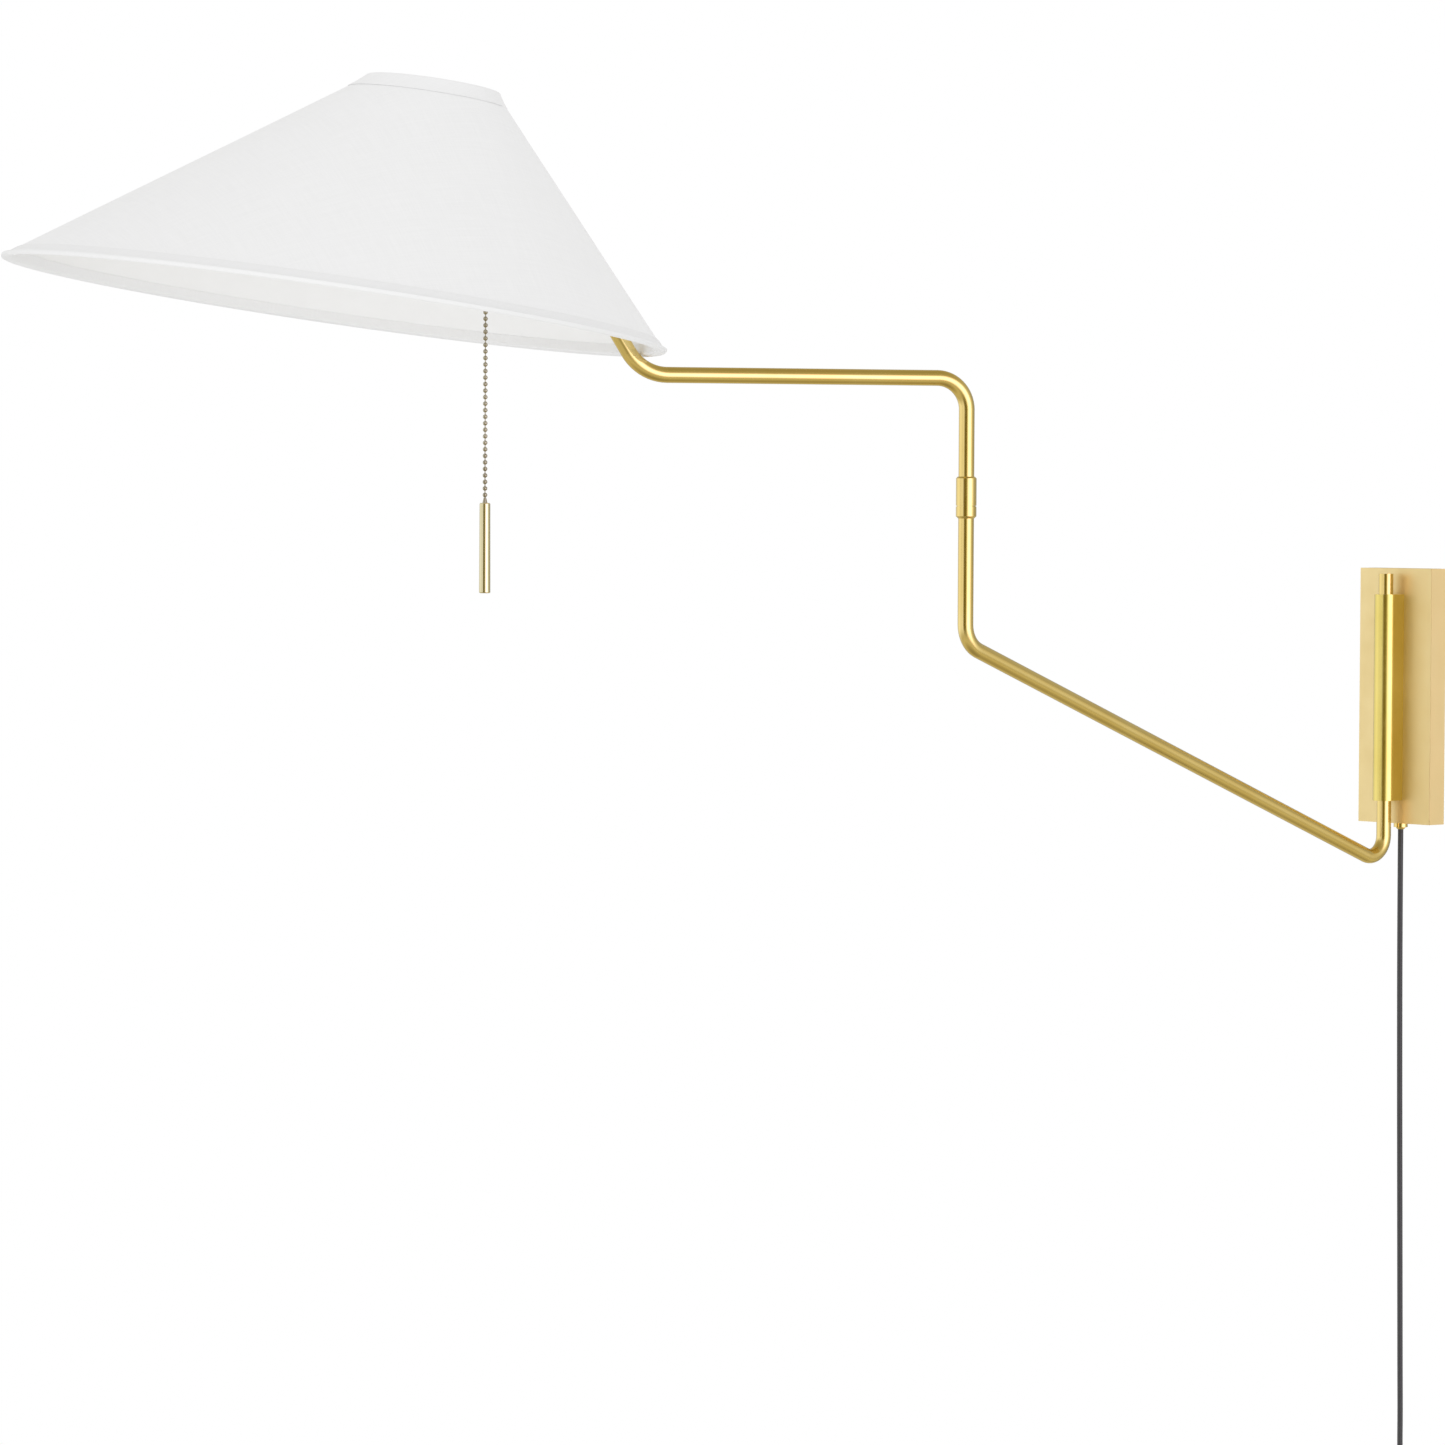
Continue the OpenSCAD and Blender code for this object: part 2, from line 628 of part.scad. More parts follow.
module bulb_base() color("silver") at_socket() translate([0, 0, shell_bottom - 0.5]) difference() {
    union() {
        cylinder(r = 13.1, h = 2);
        translate([0, 0, 2]) cylinder(r = 12.9, h = 12);
        for (h = [3 : 3 : 12]) translate([0, 0, h]) rotate_extrude()
            translate([12.9, 0]) circle(0.45);
        translate([0, 0, 14]) cylinder(r1 = 12.9, r2 = 5, h = 3);
    }
    translate([0, 0, -1]) cylinder(r = 12, h = 14);
}

module bulb_contact() color("silver") at_socket() translate([0, 0, shell_bottom + 16.5])
    cylinder(r = 4.5, h = 1.6);

// ---- Shade ----

function rim_x(h) = -shade_offset * h / shade_h;
function rim_r(h) = shade_bottom_r + (shade_neck_r - shade_bottom_r) * h / neck_h;

// The shade's leaning cone between two heights, grown or shrunk level by grow
module cone_between(low, high, grow) hull() {
    $fn = 128;
    translate([rim_x(low), 0, low]) cylinder(r = rim_r(low) + grow, h = eps);
    translate([rim_x(high - eps), 0, high - eps]) cylinder(r = rim_r(high - eps) + grow, h = eps);
}

module cone_skin(low, high, outside, inside) difference() {
    cone_between(low, high, outside);
    cone_between(low - 1, high + 1, inside);
}

module shade_fabric() color("whitesmoke") at_rims() cone_skin(0, neck_h, 0, -fabric_t);

module shade_liner() color("white") at_rims()
    cone_skin(0, neck_h, -fabric_t - glue_t, -fabric_t - liner_t);

// Trim folded over both sides of the lower rim and rolled over its wire ring
module shade_bottom_trim() color("white") at_rims() difference() {
    union() {
        cone_skin(-trim_t, trim_w, trim_t, -fabric_t - liner_t - trim_t);
        cone_skin(-trim_t, 3, 0, -trim_roll);
    }
    cone_skin(0, trim_w + 5, 0, -fabric_t - liner_t);
}

// Steep collar of trim over the top ring, which laps over the fabric's upper edge
module shade_top_trim() color("white") at_rims() difference() {
    $fn = 128;
    union() {
        cone_between(neck_h - collar_lap, neck_h, trim_t);
        hull() {
            translate([rim_x(neck_h - eps), 0, neck_h - eps])
                cylinder(r = shade_neck_r + trim_t, h = eps);
            translate([rim_x(shade_h), 0, shade_h]) cylinder(r = shade_top_r, h = eps);
        }
    }
    cone_between(neck_h - collar_lap - 1, neck_h, 0);
    translate([socket_x, 0, neck_h - 1]) cylinder(r = collar_bore_r, h = trim_w + 2);
}

module shade_bottom_ring() color("silver") at_rims() translate([0, 0, 1.5])
    rotate_extrude($fn = 128) translate([shade_bottom_r - 5.6, 0]) circle(wire_ring_r, $fn = 24);

module shade_top_ring() color("gold") at_rims() translate([socket_x, 0, top_ring_h])
    rotate_extrude() translate([top_ring_r, 0]) circle(wire_ring_r, $fn = 24);

// Three wires from a washer on the lamp holder up to the top ring
module shade_spider() color("gold") at_socket() {
    rise = top_ring_h - hub_z - hub_h / 2;
    run = top_ring_r - 7;
    difference() {
        union() {
            translate([0, 0, hub_z]) cylinder(r = 9, h = hub_h);
            for (turn = [60 : 120 : 300]) rotate([0, 0, turn])
                translate([7, 0, hub_z + hub_h / 2]) rotate([0, atan2(run, rise), 0])
                    cylinder(r = 1, h = norm([run, rise]), $fn = 24);
        }
        translate([0, 0, hub_z - 1]) cylinder(r = nipple_r, h = hub_h + 2);
    }
}

// ---- Pull chain ----

module switch_bead() color("darkgoldenrod") at_chain() {
    translate([0, 0, chain_top + bead_pitch]) sphere(bead_r, $fn = 24);
    translate([0, 0, chain_top + bead_pitch]) cylinder(r = 0.5, h = 3);
}

module pull_chain() color("darkgoldenrod") at_chain() {
    chain_length = (beads - 1) * bead_pitch;
    translate([0, 0, chain_top - chain_length]) cylinder(r = 0.5, h = chain_length);
    for (i = [0 : beads - 1]) translate([0, 0, chain_top - i * bead_pitch])
        sphere(bead_r, $fn = 24);
}

module chain_coupling() color("darkgoldenrod") at_chain() {
    last_bead = chain_top - (beads - 1) * bead_pitch;
    translate([0, 0, bar_top]) cylinder(r1 = 1.7, r2 = 0.8, h = last_bead - bead_r - bar_top);
}

module pull_bar() color("goldenrod") at_chain() translate([0, 0, bar_bottom]) {
    edge = 0.6;
    cylinder(r1 = bar_r - edge, r2 = bar_r, h = edge);
    translate([0, 0, edge])
        cylinder(r1 = bar_r, r2 = bar_top_r, h = bar_top - bar_bottom - 2 * edge);
    translate([0, 0, bar_top - bar_bottom - edge])
        cylinder(r1 = bar_top_r, r2 = bar_top_r - edge, h = edge);
}

wall_bracket();
backplate_cover();
cover_screws();
barrel();
barrel_screws();
barrel_bushes();
cord_gland();
gland_nut();
cord_clamp();
supply_lead();
terminal_block();
terminal_screws();
fixture_lead();
cord_drop();
cord_coil();
cord_tail();
cord_tie();
plug_body();
plug_blades();
lower_arm_tube();
tube_end_cap();
swing_collars();
elbow_ring();
elbow_stud();
elbow_washer();
lower_arm_wire();
upper_arm_tube();
elbow_sleeve();
sleeve_set_screw();
upper_arm_wire();
knuckle_fork();
tilt_bolt();
tilt_nut();
socket_bracket();
socket_nipple();
nipple_nuts();
socket_cap();
socket_shell();
socket_insulator();
socket_switch_block();
screw_shell();
centre_contact();
chain_outlet();
bulb_glass();
bulb_base();
bulb_contact();
shade_fabric();
shade_liner();
shade_top_ring();
shade_bottom_ring();
shade_top_trim();
shade_bottom_trim();
shade_spider();
switch_bead();
pull_chain();
chain_coupling();
pull_bar();
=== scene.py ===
"""Looks of a plug-in swing arm wall light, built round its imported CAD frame.

The frame's origin is the centre of the wall plate's back. The wall is the plane y = 0, the
light reaches towards -Y and +Z is up. Lengths are in metres, often written as millimetres
times MM. Angles that are given as numbers are in degrees. The sections below are the camera,
the shader helpers, the stage, the materials, the mesh helpers, the cord, the plug, the shade,
the pull chain, and what each piece belongs to.
"""

import json
import math

import bmesh
import bpy
import numpy as np
from mathutils import Matrix, Vector, noise


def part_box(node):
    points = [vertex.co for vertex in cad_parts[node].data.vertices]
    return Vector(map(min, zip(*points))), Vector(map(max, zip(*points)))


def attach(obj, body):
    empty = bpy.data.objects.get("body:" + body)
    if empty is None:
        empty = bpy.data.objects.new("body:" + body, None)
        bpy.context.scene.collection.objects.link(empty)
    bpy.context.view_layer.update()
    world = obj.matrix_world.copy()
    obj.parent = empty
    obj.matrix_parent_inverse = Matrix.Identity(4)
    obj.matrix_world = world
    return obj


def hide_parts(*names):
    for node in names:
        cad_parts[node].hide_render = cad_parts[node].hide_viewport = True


MM = 0.001
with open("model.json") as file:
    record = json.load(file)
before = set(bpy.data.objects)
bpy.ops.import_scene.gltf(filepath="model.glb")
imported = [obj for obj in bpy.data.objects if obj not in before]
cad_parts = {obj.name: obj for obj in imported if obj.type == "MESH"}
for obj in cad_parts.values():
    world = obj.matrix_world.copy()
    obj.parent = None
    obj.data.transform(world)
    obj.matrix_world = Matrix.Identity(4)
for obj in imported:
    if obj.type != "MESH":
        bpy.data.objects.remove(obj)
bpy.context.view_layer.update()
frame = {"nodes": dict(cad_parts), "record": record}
NODES = frame["nodes"]


# ---- Camera ----

CAMERA_PLACE = (2.8872, -3.3030, 0.1520)
CAMERA_AZIMUTH, CAMERA_FALL, CAMERA_ROLL = 47.943, 2.3, 0.27
LENS, SENSOR_W = 143.824, 36


def make_camera():
    """The photograph's view: from the front right, looking slightly down through a long lens."""
    azimuth, fall, roll = (math.radians(a) for a in (CAMERA_AZIMUTH, CAMERA_FALL, CAMERA_ROLL))
    back = Vector((math.sin(azimuth) * math.cos(fall), -math.cos(azimuth) * math.cos(fall),
                   math.sin(fall)))
    level = Vector((math.cos(azimuth), math.sin(azimuth), 0))
    up = back.cross(level)
    right = level * math.cos(roll) + up * math.sin(roll)
    up = back.cross(right)
    data = bpy.data.cameras.new("camera")
    data.sensor_width = SENSOR_W
    data.lens = LENS
    data.clip_end = 50
    camera = bpy.data.objects.new("camera", data)
    bpy.context.scene.collection.objects.link(camera)
    x, y, z = CAMERA_PLACE
    camera.matrix_world = Matrix((
        (right.x, up.x, back.x, x), (right.y, up.y, back.y, y),
        (right.z, up.z, back.z, z), (0, 0, 0, 1)))
    bpy.context.scene.camera = camera


# ---- Shader helpers ----

NOISE_LOW, NOISE_HIGH = 0.3, 0.7


def add_node(tree, kind, **settings):
    node = tree.nodes.new(kind)
    for name, value in settings.items():
        setattr(node, name, value)
    return node


def put(tree, socket, value):
    """Sets a socket to a number or colour, or links it to another node's output."""
    if isinstance(value, bpy.types.NodeSocket):
        tree.links.new(value, socket)
    else:
        socket.default_value = value


def math_node(tree, operation, *values):
    node = add_node(tree, "ShaderNodeMath", operation=operation)
    for socket, value in zip(node.inputs, values):
        put(tree, socket, value)
    return node.outputs[0]


def ramp(tree, factor, stops):
    """A colour ramp with straight runs. A stop is its place, and a grey or a colour."""
    node = add_node(tree, "ShaderNodeValToRGB")
    node.color_ramp.interpolation = "LINEAR"
    elements = node.color_ramp.elements
    while len(elements) < len(stops):
        elements.new(0.5)
    for element, (place, colour) in zip(elements, stops):
        colour = (colour,) * 3 if isinstance(colour, (int, float)) else colour
        element.position = place
        element.color = (*colour, 1)
    put(tree, node.inputs[0], factor)
    return node.outputs[0]


def map_range(tree, value, low, high):
    """Noise, which mostly runs from NOISE_LOW to NOISE_HIGH, as a number from low to high."""
    node = add_node(tree, "ShaderNodeMapRange")
    for name, number in (("From Min", NOISE_LOW), ("From Max", NOISE_HIGH),
                         ("To Min", low), ("To Max", high)):
        node.inputs[name].default_value = number
    put(tree, node.inputs["Value"], value)
    return node.outputs[0]


def noise_at(tree, place, scale, detail=3.0, stretch=(1, 1, 1)):
    """Noise of about scale blobs a metre. A stretch below 1 pulls them out along that axis."""
    mapping = add_node(tree, "ShaderNodeMapping")
    mapping.inputs["Scale"].default_value = stretch
    put(tree, mapping.inputs["Vector"], place)
    node = add_node(tree, "ShaderNodeTexNoise")
    node.inputs["Scale"].default_value = scale
    node.inputs["Detail"].default_value = detail
    put(tree, node.inputs["Vector"], mapping.outputs[0])
    return node.outputs[0]


def mix_colour(tree, factor, first, second):
    node = add_node(tree, "ShaderNodeMix", data_type="RGBA")
    put(tree, node.inputs[0], factor)
    for socket, colour in ((node.inputs[6], first), (node.inputs[7], second)):
        put(tree, socket, (*colour, 1) if isinstance(colour, tuple) else colour)
    return node.outputs[2]


def bumped(tree, height, depth, strength=1.0, below=None):
    """A normal from a height from 0 to 1 that stands for depth in metres, over another normal."""
    node = add_node(tree, "ShaderNodeBump")
    node.inputs["Strength"].default_value = strength
    node.inputs["Distance"].default_value = depth
    put(tree, node.inputs["Height"], height)
    if below is not None:
        put(tree, node.inputs["Normal"], below)
    return node.outputs[0]


def new_material(name, **values):
    """A material with one Principled shader. Values name its sockets, with _ for a space."""
    material = bpy.data.materials.new(name)
    material.use_nodes = True
    shader = material.node_tree.nodes["Principled BSDF"]
    for socket, value in values.items():
        shader.inputs[socket.replace("_", " ")].default_value = value
    return material, material.node_tree, shader


def object_place(tree):
    return add_node(tree, "ShaderNodeTexCoord").outputs["Object"]


# ---- Stage ----

SOFTBOX, SOFTBOX_EDGE = (2.4, 2.0, 2.5), (1.9, 1.6, 1.9)
FLAG, FLAG_LEFT, FLAG_RIGHT = (0.19, 0.145, 0.03), (0.28, 0.25, 0.17), (0.42, 0.38, 0.13)

# Tone of the reflected room at an azimuth, which is 0 towards -Y and 90 towards +X
PANELS = [(-180, 0.4), (-120, 0.45), (-95, 0.8), (-50, 1.12), (-28, 0.95), (-14, 0.9), (0, 1.0),
          (11, 0.85), (18, FLAG_LEFT), (25, FLAG), (43, FLAG), (53, FLAG_RIGHT), (61, 0.95),
          (72, SOFTBOX_EDGE), (84, SOFTBOX), (104, SOFTBOX), (114, 1.5), (124, 0.85),
          (138, (0.7, 0.66, 0.55)), (150, (0.45, 0.42, 0.33)), (180, 0.4)]

# The same by height, which is 0 straight down and 1 straight up
CEILING_AND_GROUND = [(0, (0.33, 0.29, 0.18)), (0.05, (0.46, 0.41, 0.26)),
                      (0.13, (0.64, 0.59, 0.41)), (0.25, (0.55, 0.51, 0.37)), (0.5, 0.6),
                      (0.75, (0.54, 0.5, 0.37)), (0.85, (0.47, 0.42, 0.27)),
                      (0.95, (0.4, 0.35, 0.2)), (1, (0.35, 0.3, 0.18))]

# Share of the second list at a height
OFF_LEVEL = [(0.22, 1), (0.4, 0), (0.6, 0), (0.78, 1)]

MATT_GLOW = (0.96, 0.96, 0.96)
WHITE = (1.0, 1.0, 1.0)


def make_world():
    """White to the camera, an even glow on matt surfaces, and studio panels in the reflections."""
    world = bpy.data.worlds.new("studio")
    bpy.context.scene.world = world
    world.use_nodes = True
    world.cycles.sampling_method = "NONE"
    tree = world.node_tree
    tree.nodes.clear()
    direction = add_node(tree, "ShaderNodeSeparateXYZ")
    put(tree, direction.inputs[0], add_node(tree, "ShaderNodeTexCoord").outputs["Generated"])
    x, y, z = direction.outputs
    turn = math_node(tree, "ARCTAN2", x, math_node(tree, "MULTIPLY", y, -1.0))
    around = math_node(tree, "MULTIPLY_ADD", turn, 0.5 / math.pi, 0.5)
    panels = ramp(tree, around, [(azimuth / 360 + 0.5, tone) for azimuth, tone in PANELS])
    height = math_node(tree, "MULTIPLY_ADD", z, 0.5, 0.5)
    ceiling_and_ground = ramp(tree, height, CEILING_AND_GROUND)
    tint = mix_colour(tree, ramp(tree, height, OFF_LEVEL), panels, ceiling_and_ground)
    path = add_node(tree, "ShaderNodeLightPath")
    glow = mix_colour(tree, path.outputs["Is Glossy Ray"], MATT_GLOW, tint)
    seen = mix_colour(tree, path.outputs["Is Camera Ray"], glow, WHITE)
    background = add_node(tree, "ShaderNodeBackground")
    put(tree, background.inputs[0], seen)
    output = add_node(tree, "ShaderNodeOutputWorld")
    put(tree, output.inputs[0], background.outputs[0])


def make_light(name, place, aim, size, watts):
    data = bpy.data.lights.new(name, "AREA")
    data.shape = "DISK"
    data.size = size
    data.energy = watts
    light = bpy.data.objects.new(name, data)
    light.location = place
    light.rotation_euler = (Vector(aim) - Vector(place)).to_track_quat("-Z", "Y").to_euler()
    light.visible_glossy = False
    light.visible_camera = False
    bpy.context.scene.collection.objects.link(light)


def make_floor(place, radius):
    """A pale round floor, below what the photograph's view takes in."""
    mesh = bpy.data.meshes.new("floor")
    shape = bmesh.new()
    bmesh.ops.create_circle(shape, cap_ends=True, segments=96, radius=radius)
    shape.to_mesh(mesh)
    shape.free()
    floor = bpy.data.objects.new("floor", mesh)
    bpy.context.scene.collection.objects.link(floor)
    floor.location = place
    floor.visible_glossy = False
    material, tree, shader = new_material("pale_floor", Roughness=0.8)
    speckle = noise_at(tree, object_place(tree), 40)
    put(tree, shader.inputs["Base Color"],
        mix_colour(tree, speckle, (0.86, 0.86, 0.85), (0.9, 0.9, 0.89)))
    mesh.materials.append(material)


# ---- Materials ----

def metal(name, pale, deep, roughness, grain, grain_depth):
    """Satin metal: a cloudy tint, faint handling marks, and a grain of fine lines."""
    cloud_scale, mark_scale = 22, 70
    material, tree, shader = new_material(name, Metallic=1.0)
    place = object_place(tree)
    clouds = noise_at(tree, place, cloud_scale)
    put(tree, shader.inputs["Base Color"],
        mix_colour(tree, map_range(tree, clouds, 0.0, 1.0), deep, pale))
    lines = noise_at(tree, place, grain, 2.0)
    marks = noise_at(tree, place, mark_scale, 4.0)
    gloss = math_node(tree, "ADD", map_range(tree, lines, -0.02, 0.02),
                      map_range(tree, marks, roughness - 0.025, roughness + 0.035))
    put(tree, shader.inputs["Roughness"], gloss)
    put(tree, shader.inputs["Normal"], bumped(tree, lines, grain_depth))
    return material


def moulded(name, colour, roughness, texture_depth, texture_scale, fade):
    """Moulded plastic with a spark-eroded skin and slightly uneven gloss."""
    cloud_scale = 60
    material, tree, shader = new_material(name)
    place = object_place(tree)
    clouds = noise_at(tree, place, cloud_scale)
    darker = tuple(fade * c for c in colour)
    put(tree, shader.inputs["Base Color"],
        mix_colour(tree, map_range(tree, clouds, 0.0, 1.0), darker, colour))
    put(tree, shader.inputs["Roughness"],
        map_range(tree, clouds, roughness - 0.04, roughness + 0.04))
    put(tree, shader.inputs["Normal"], bumped(
        tree, noise_at(tree, place, texture_scale), texture_depth))
    return material


def weave(tree, across, along, pitch):
    """Height of a plain weave, from 0 to 1, at a place given in metres along both threads."""
    waves = [math_node(tree, "SINE", math_node(tree, "MULTIPLY", c, math.pi / pitch))
             for c in (across, along)]
    crossing = math_node(tree, "MULTIPLY", *waves)
    return math_node(tree, "MULTIPLY_ADD", crossing, 0.5, 0.5)


def cloth(name, pale, deep, pitch, slub, turned):
    """Linen: a plain weave laid flat in the piece's UVs, which are in metres, with thick threads."""
    wobble_scale, slub_pull = 90, 0.03
    thread_depth, slub_depth = 0.00012, 0.00008
    material, tree, shader = new_material(name, Roughness=0.9, Sheen_Weight=0.15,
                                          Sheen_Roughness=0.5, Specular_IOR_Level=0.2)
    uv = add_node(tree, "ShaderNodeUVMap", uv_map="UVMap")
    turn = add_node(tree, "ShaderNodeMapping")
    turn.inputs["Rotation"].default_value = (0, 0, math.radians(turned))
    put(tree, turn.inputs["Vector"], uv.outputs[0])
    split = add_node(tree, "ShaderNodeSeparateXYZ")
    put(tree, split.inputs[0], turn.outputs[0])
    wobble = noise_at(tree, turn.outputs[0], wobble_scale, 2.0)
    across = math_node(tree, "MULTIPLY_ADD", wobble, pitch, split.outputs[0])
    along = math_node(tree, "MULTIPLY_ADD", wobble, -pitch, split.outputs[1])
    threads = weave(tree, across, along, pitch)
    slub_across = noise_at(tree, turn.outputs[0], 1 / slub, 2.0, (1, slub_pull, 1))
    slub_along = noise_at(tree, turn.outputs[0], 1 / slub, 2.0, (slub_pull, 1, 1))
    slubs = math_node(tree, "ADD", map_range(tree, slub_across, 0, 0.5),
                      map_range(tree, slub_along, 0, 0.5))
    put(tree, shader.inputs["Base Color"], mix_colour(tree, slubs, (deep,) * 3, (pale,) * 3))
    put(tree, shader.inputs["Normal"], bumped(
        tree, threads, thread_depth, 0.5, bumped(tree, slubs, slub_depth, 0.6)))
    return material


def frosted_glass():
    material, tree, shader = new_material(
        "frosted_glass", Base_Color=(0.93, 0.93, 0.91, 1), Transmission_Weight=0.35, IOR=1.45,
        Coat_Weight=0.3)
    put(tree, shader.inputs["Roughness"],
        map_range(tree, noise_at(tree, object_place(tree), 400), 0.38, 0.5))
    return material


# Pale tint, deep tint, roughness, blobs of grain a metre, depth of the grain
METALS = {
    "satin_brass": ((0.87, 0.69, 0.28), (0.83, 0.63, 0.225), 0.16, 1400, 2e-7),
    # The plate, barrel and pull bar have their own copies of the brass. Their roughness is their
    # own, but their tints are painted light: paler for the plate and the pull bar, and more
    # saturated for the barrel, to match how each part looks under the studio light.
    "plate_brass": ((0.95, 0.785, 0.43), (0.92, 0.75, 0.39), 0.5, 1400, 5e-7),
    "barrel_brass": ((0.86, 0.71, 0.23), (0.81, 0.65, 0.18), 0.22, 1400, 3e-7),
    "pull_brass": ((0.78, 0.71, 0.46), (0.72, 0.64, 0.39), 0.16, 1400, 2e-7),
    "chain_brass": ((0.52, 0.48, 0.37), (0.4, 0.365, 0.28), 0.27, 900, 1.5e-6),
    "zinc_steel": ((0.66, 0.66, 0.65), (0.55, 0.56, 0.57), 0.35, 700, 1.5e-6),
    "nickel": ((0.74, 0.72, 0.68), (0.66, 0.64, 0.6), 0.18, 1200, 1.5e-6)}

# Colour, roughness, depth of the skin's texture, its blobs a metre, and how far its clouds darken
MOULDINGS = {
    "nylon": ((0.82, 0.8, 0.74), 0.5, 8e-6, 1800, 0.86),
    "terminal_plastic": ((0.78, 0.76, 0.68), 0.45, 8e-6, 1800, 0.86),
    "cord_jacket": ((0.05, 0.05, 0.053), 0.45, 12e-6, 900, 0.86),
    "black_plastic": ((0.035, 0.035, 0.038), 0.42, 8e-6, 1800, 0.86),
    "insulating_paper": ((0.34, 0.23, 0.14), 0.8, 3e-5, 500, 0.86),
    "liner": ((0.88, 0.88, 0.88), 0.55, 2e-6, 600, 0.985)}

# Pale grey, deep grey, thread pitch, width of a thick thread, and the weave's angle
CLOTHS = {
    "linen": (0.885, 0.845, 0.6 * MM, 1.2 * MM, 0),
    "trim_tape": (0.875, 0.845, 0.5 * MM, 1 * MM, 45),
    # The lower hem's tape is a darker copy of the trim tape. Its darker grey is painted shade for
    # the band inside the far rim, and it also dims the lit edge along the near rim.
    "rim_tape": (0.85, 0.82, 0.5 * MM, 1 * MM, 45)}


def make_materials():
    materials = {"frosted_glass": frosted_glass()}
    for make, table in ((metal, METALS), (moulded, MOULDINGS), (cloth, CLOTHS)):
        for name, values in table.items():
            materials[name] = make(name, *values)
    return materials


# ---- Mesh helpers ----

def new_piece(name, points, faces, material, sharp, uvs=None):
    """A smooth mesh with edges kept that turn by sharp or more. uvs has one pair a point."""
    mesh = bpy.data.meshes.new(name)
    mesh.from_pydata([tuple(p) for p in points], [], faces)
    if uvs is not None:
        layer = mesh.uv_layers.new(name="UVMap")
        for loop in mesh.loops:
            layer.data[loop.index].uv = uvs[loop.vertex_index]
    shape = bmesh.new()
    shape.from_mesh(mesh)
    bmesh.ops.recalc_face_normals(shape, faces=shape.faces)
    for face in shape.faces:
        face.smooth = True
    for edge in shape.edges:
        edge.smooth = edge.calc_face_angle(0) < math.radians(sharp)
    shape.to_mesh(mesh)
    shape.free()
    mesh.materials.append(material)
    piece = bpy.data.objects.new(name, mesh)
    bpy.context.scene.collection.objects.link(piece)
    return piece


def loft_faces(rings, around):
    """Quads between each closed ring of points and the next."""
    faces = []
    for i in range(rings - 1):
        a, b = i * around, (i + 1) * around
        for k in range(around):
            m = (k + 1) % around
            faces.append((a + k, a + m, b + m, b + k))
    return faces


def capped_loft(rings):
    """Points and faces of a solid through rings of points, closed at both ends."""
    around = len(rings[0])
    points = [p for ring in rings for p in ring]
    faces = loft_faces(len(rings), around)
    last = (len(rings) - 1) * around
    faces += [tuple(range(around))[::-1], tuple(range(last, last + around))]
    return points, faces


def turned_part(profile, segments):
    """Points and faces of a solid turned about Z from (radius, height) pairs, with flat ends."""
    rings = [[Vector((r * math.cos(a), r * math.sin(a), z))
              for a in (math.tau * k / segments for k in range(segments))]
             for r, z in profile]
    return capped_loft(rings)


def joined(parts):
    """Several (points, faces) as one."""
    points, faces = [], []
    for more, quads in parts:
        faces += [tuple(len(points) + v for v in face) for face in quads]
        points += list(more)
    return points, faces


def moved(part, offset):
    return [Vector(p) + Vector(offset) for p in part[0]], part[1]


def arc(centre, radius, start, end, steps):
    """Points of an arc in a section, as (radius, height) pairs."""
    r, h = centre
    return [(r + radius * math.cos(math.radians(start + (end - start) * i / steps)),
             h + radius * math.sin(math.radians(start + (end - start) * i / steps)))
            for i in range(steps + 1)]


def squared(wave, power):
    """A sine or cosine pushed towards 1 or -1, which makes a round section squarer."""
    return math.copysign(abs(wave) ** power, wave)


def clamped(share):
    return min(max(share, 0), 1)


# ---- Cord ----

CORD_D = 4.2 * MM
LEAD_Y = -8.25 * MM
COIL_R = 25.2 * MM
COIL_HALF_W = 2.3 * CORD_D
COIL_OUTER = COIL_R + COIL_HALF_W
COIL_TOP = -600 * MM
HANG_X = 5 * MM
COIL_Z = COIL_TOP - COIL_OUTER
TURN_PITCH = 4.25 * MM
FRONT_Y = LEAD_Y - TURN_PITCH / 2
BACK_Y = LEAD_Y + TURN_PITCH / 2

# Places of the cord's centre line, in millimetres: from the gland to the coil, and on to the plug
DROP_ROUTE = [(0, -8.25, -100.8), (0, -8.25, -115), (0.1, -8.25, -150), (0.4, -8.25, -200),
              (0.9, -8.25, -250), (1.5, -8.25, -300), (2.2, -8.25, -350), (2.9, -8.25, -400),
              (3.6, -8.25, -450), (4.3, -8.25, -500), (5, -8.25, -560), (5, -8.6, -578),
              (3.9, -9.2, -587), (0.6, -9.8, -594.6), (-4.6, -10.2, -601.4)]
TAIL_ROUTE = [(-4.6, -6.3, -668.4), (0.6, -6.8, -675.2), (3.9, -7.4, -683), (5, -8, -691.5),
              (5, -8.25, -700), (5, -8.25, -710)]


def coil_points():
    """Down into the outer front turn, in to the smallest turn, back, and out to the far bottom."""
    steps = 24
    enter, leave, turns = 30, 150, 7
    cross = 90
    total = 360 * turns + leave - enter
    wind = (total - cross) / 2
    outer = COIL_OUTER - CORD_D / 2
    points = []
    for i in range(int(total * steps / 360) + 1):
        gone = min(i * 360 / steps, total)
        inwards = min(gone, wind, total - gone)
        share = clamped((gone - wind) / cross)
        share = share * share * (3 - 2 * share)
        r = outer - TURN_PITCH * inwards / 360
        y = FRONT_Y + share * (BACK_Y - FRONT_Y)
        a = math.radians(enter + gone)
        points.append((HANG_X - r * math.sin(a), y, COIL_Z + r * math.cos(a)))
    return points


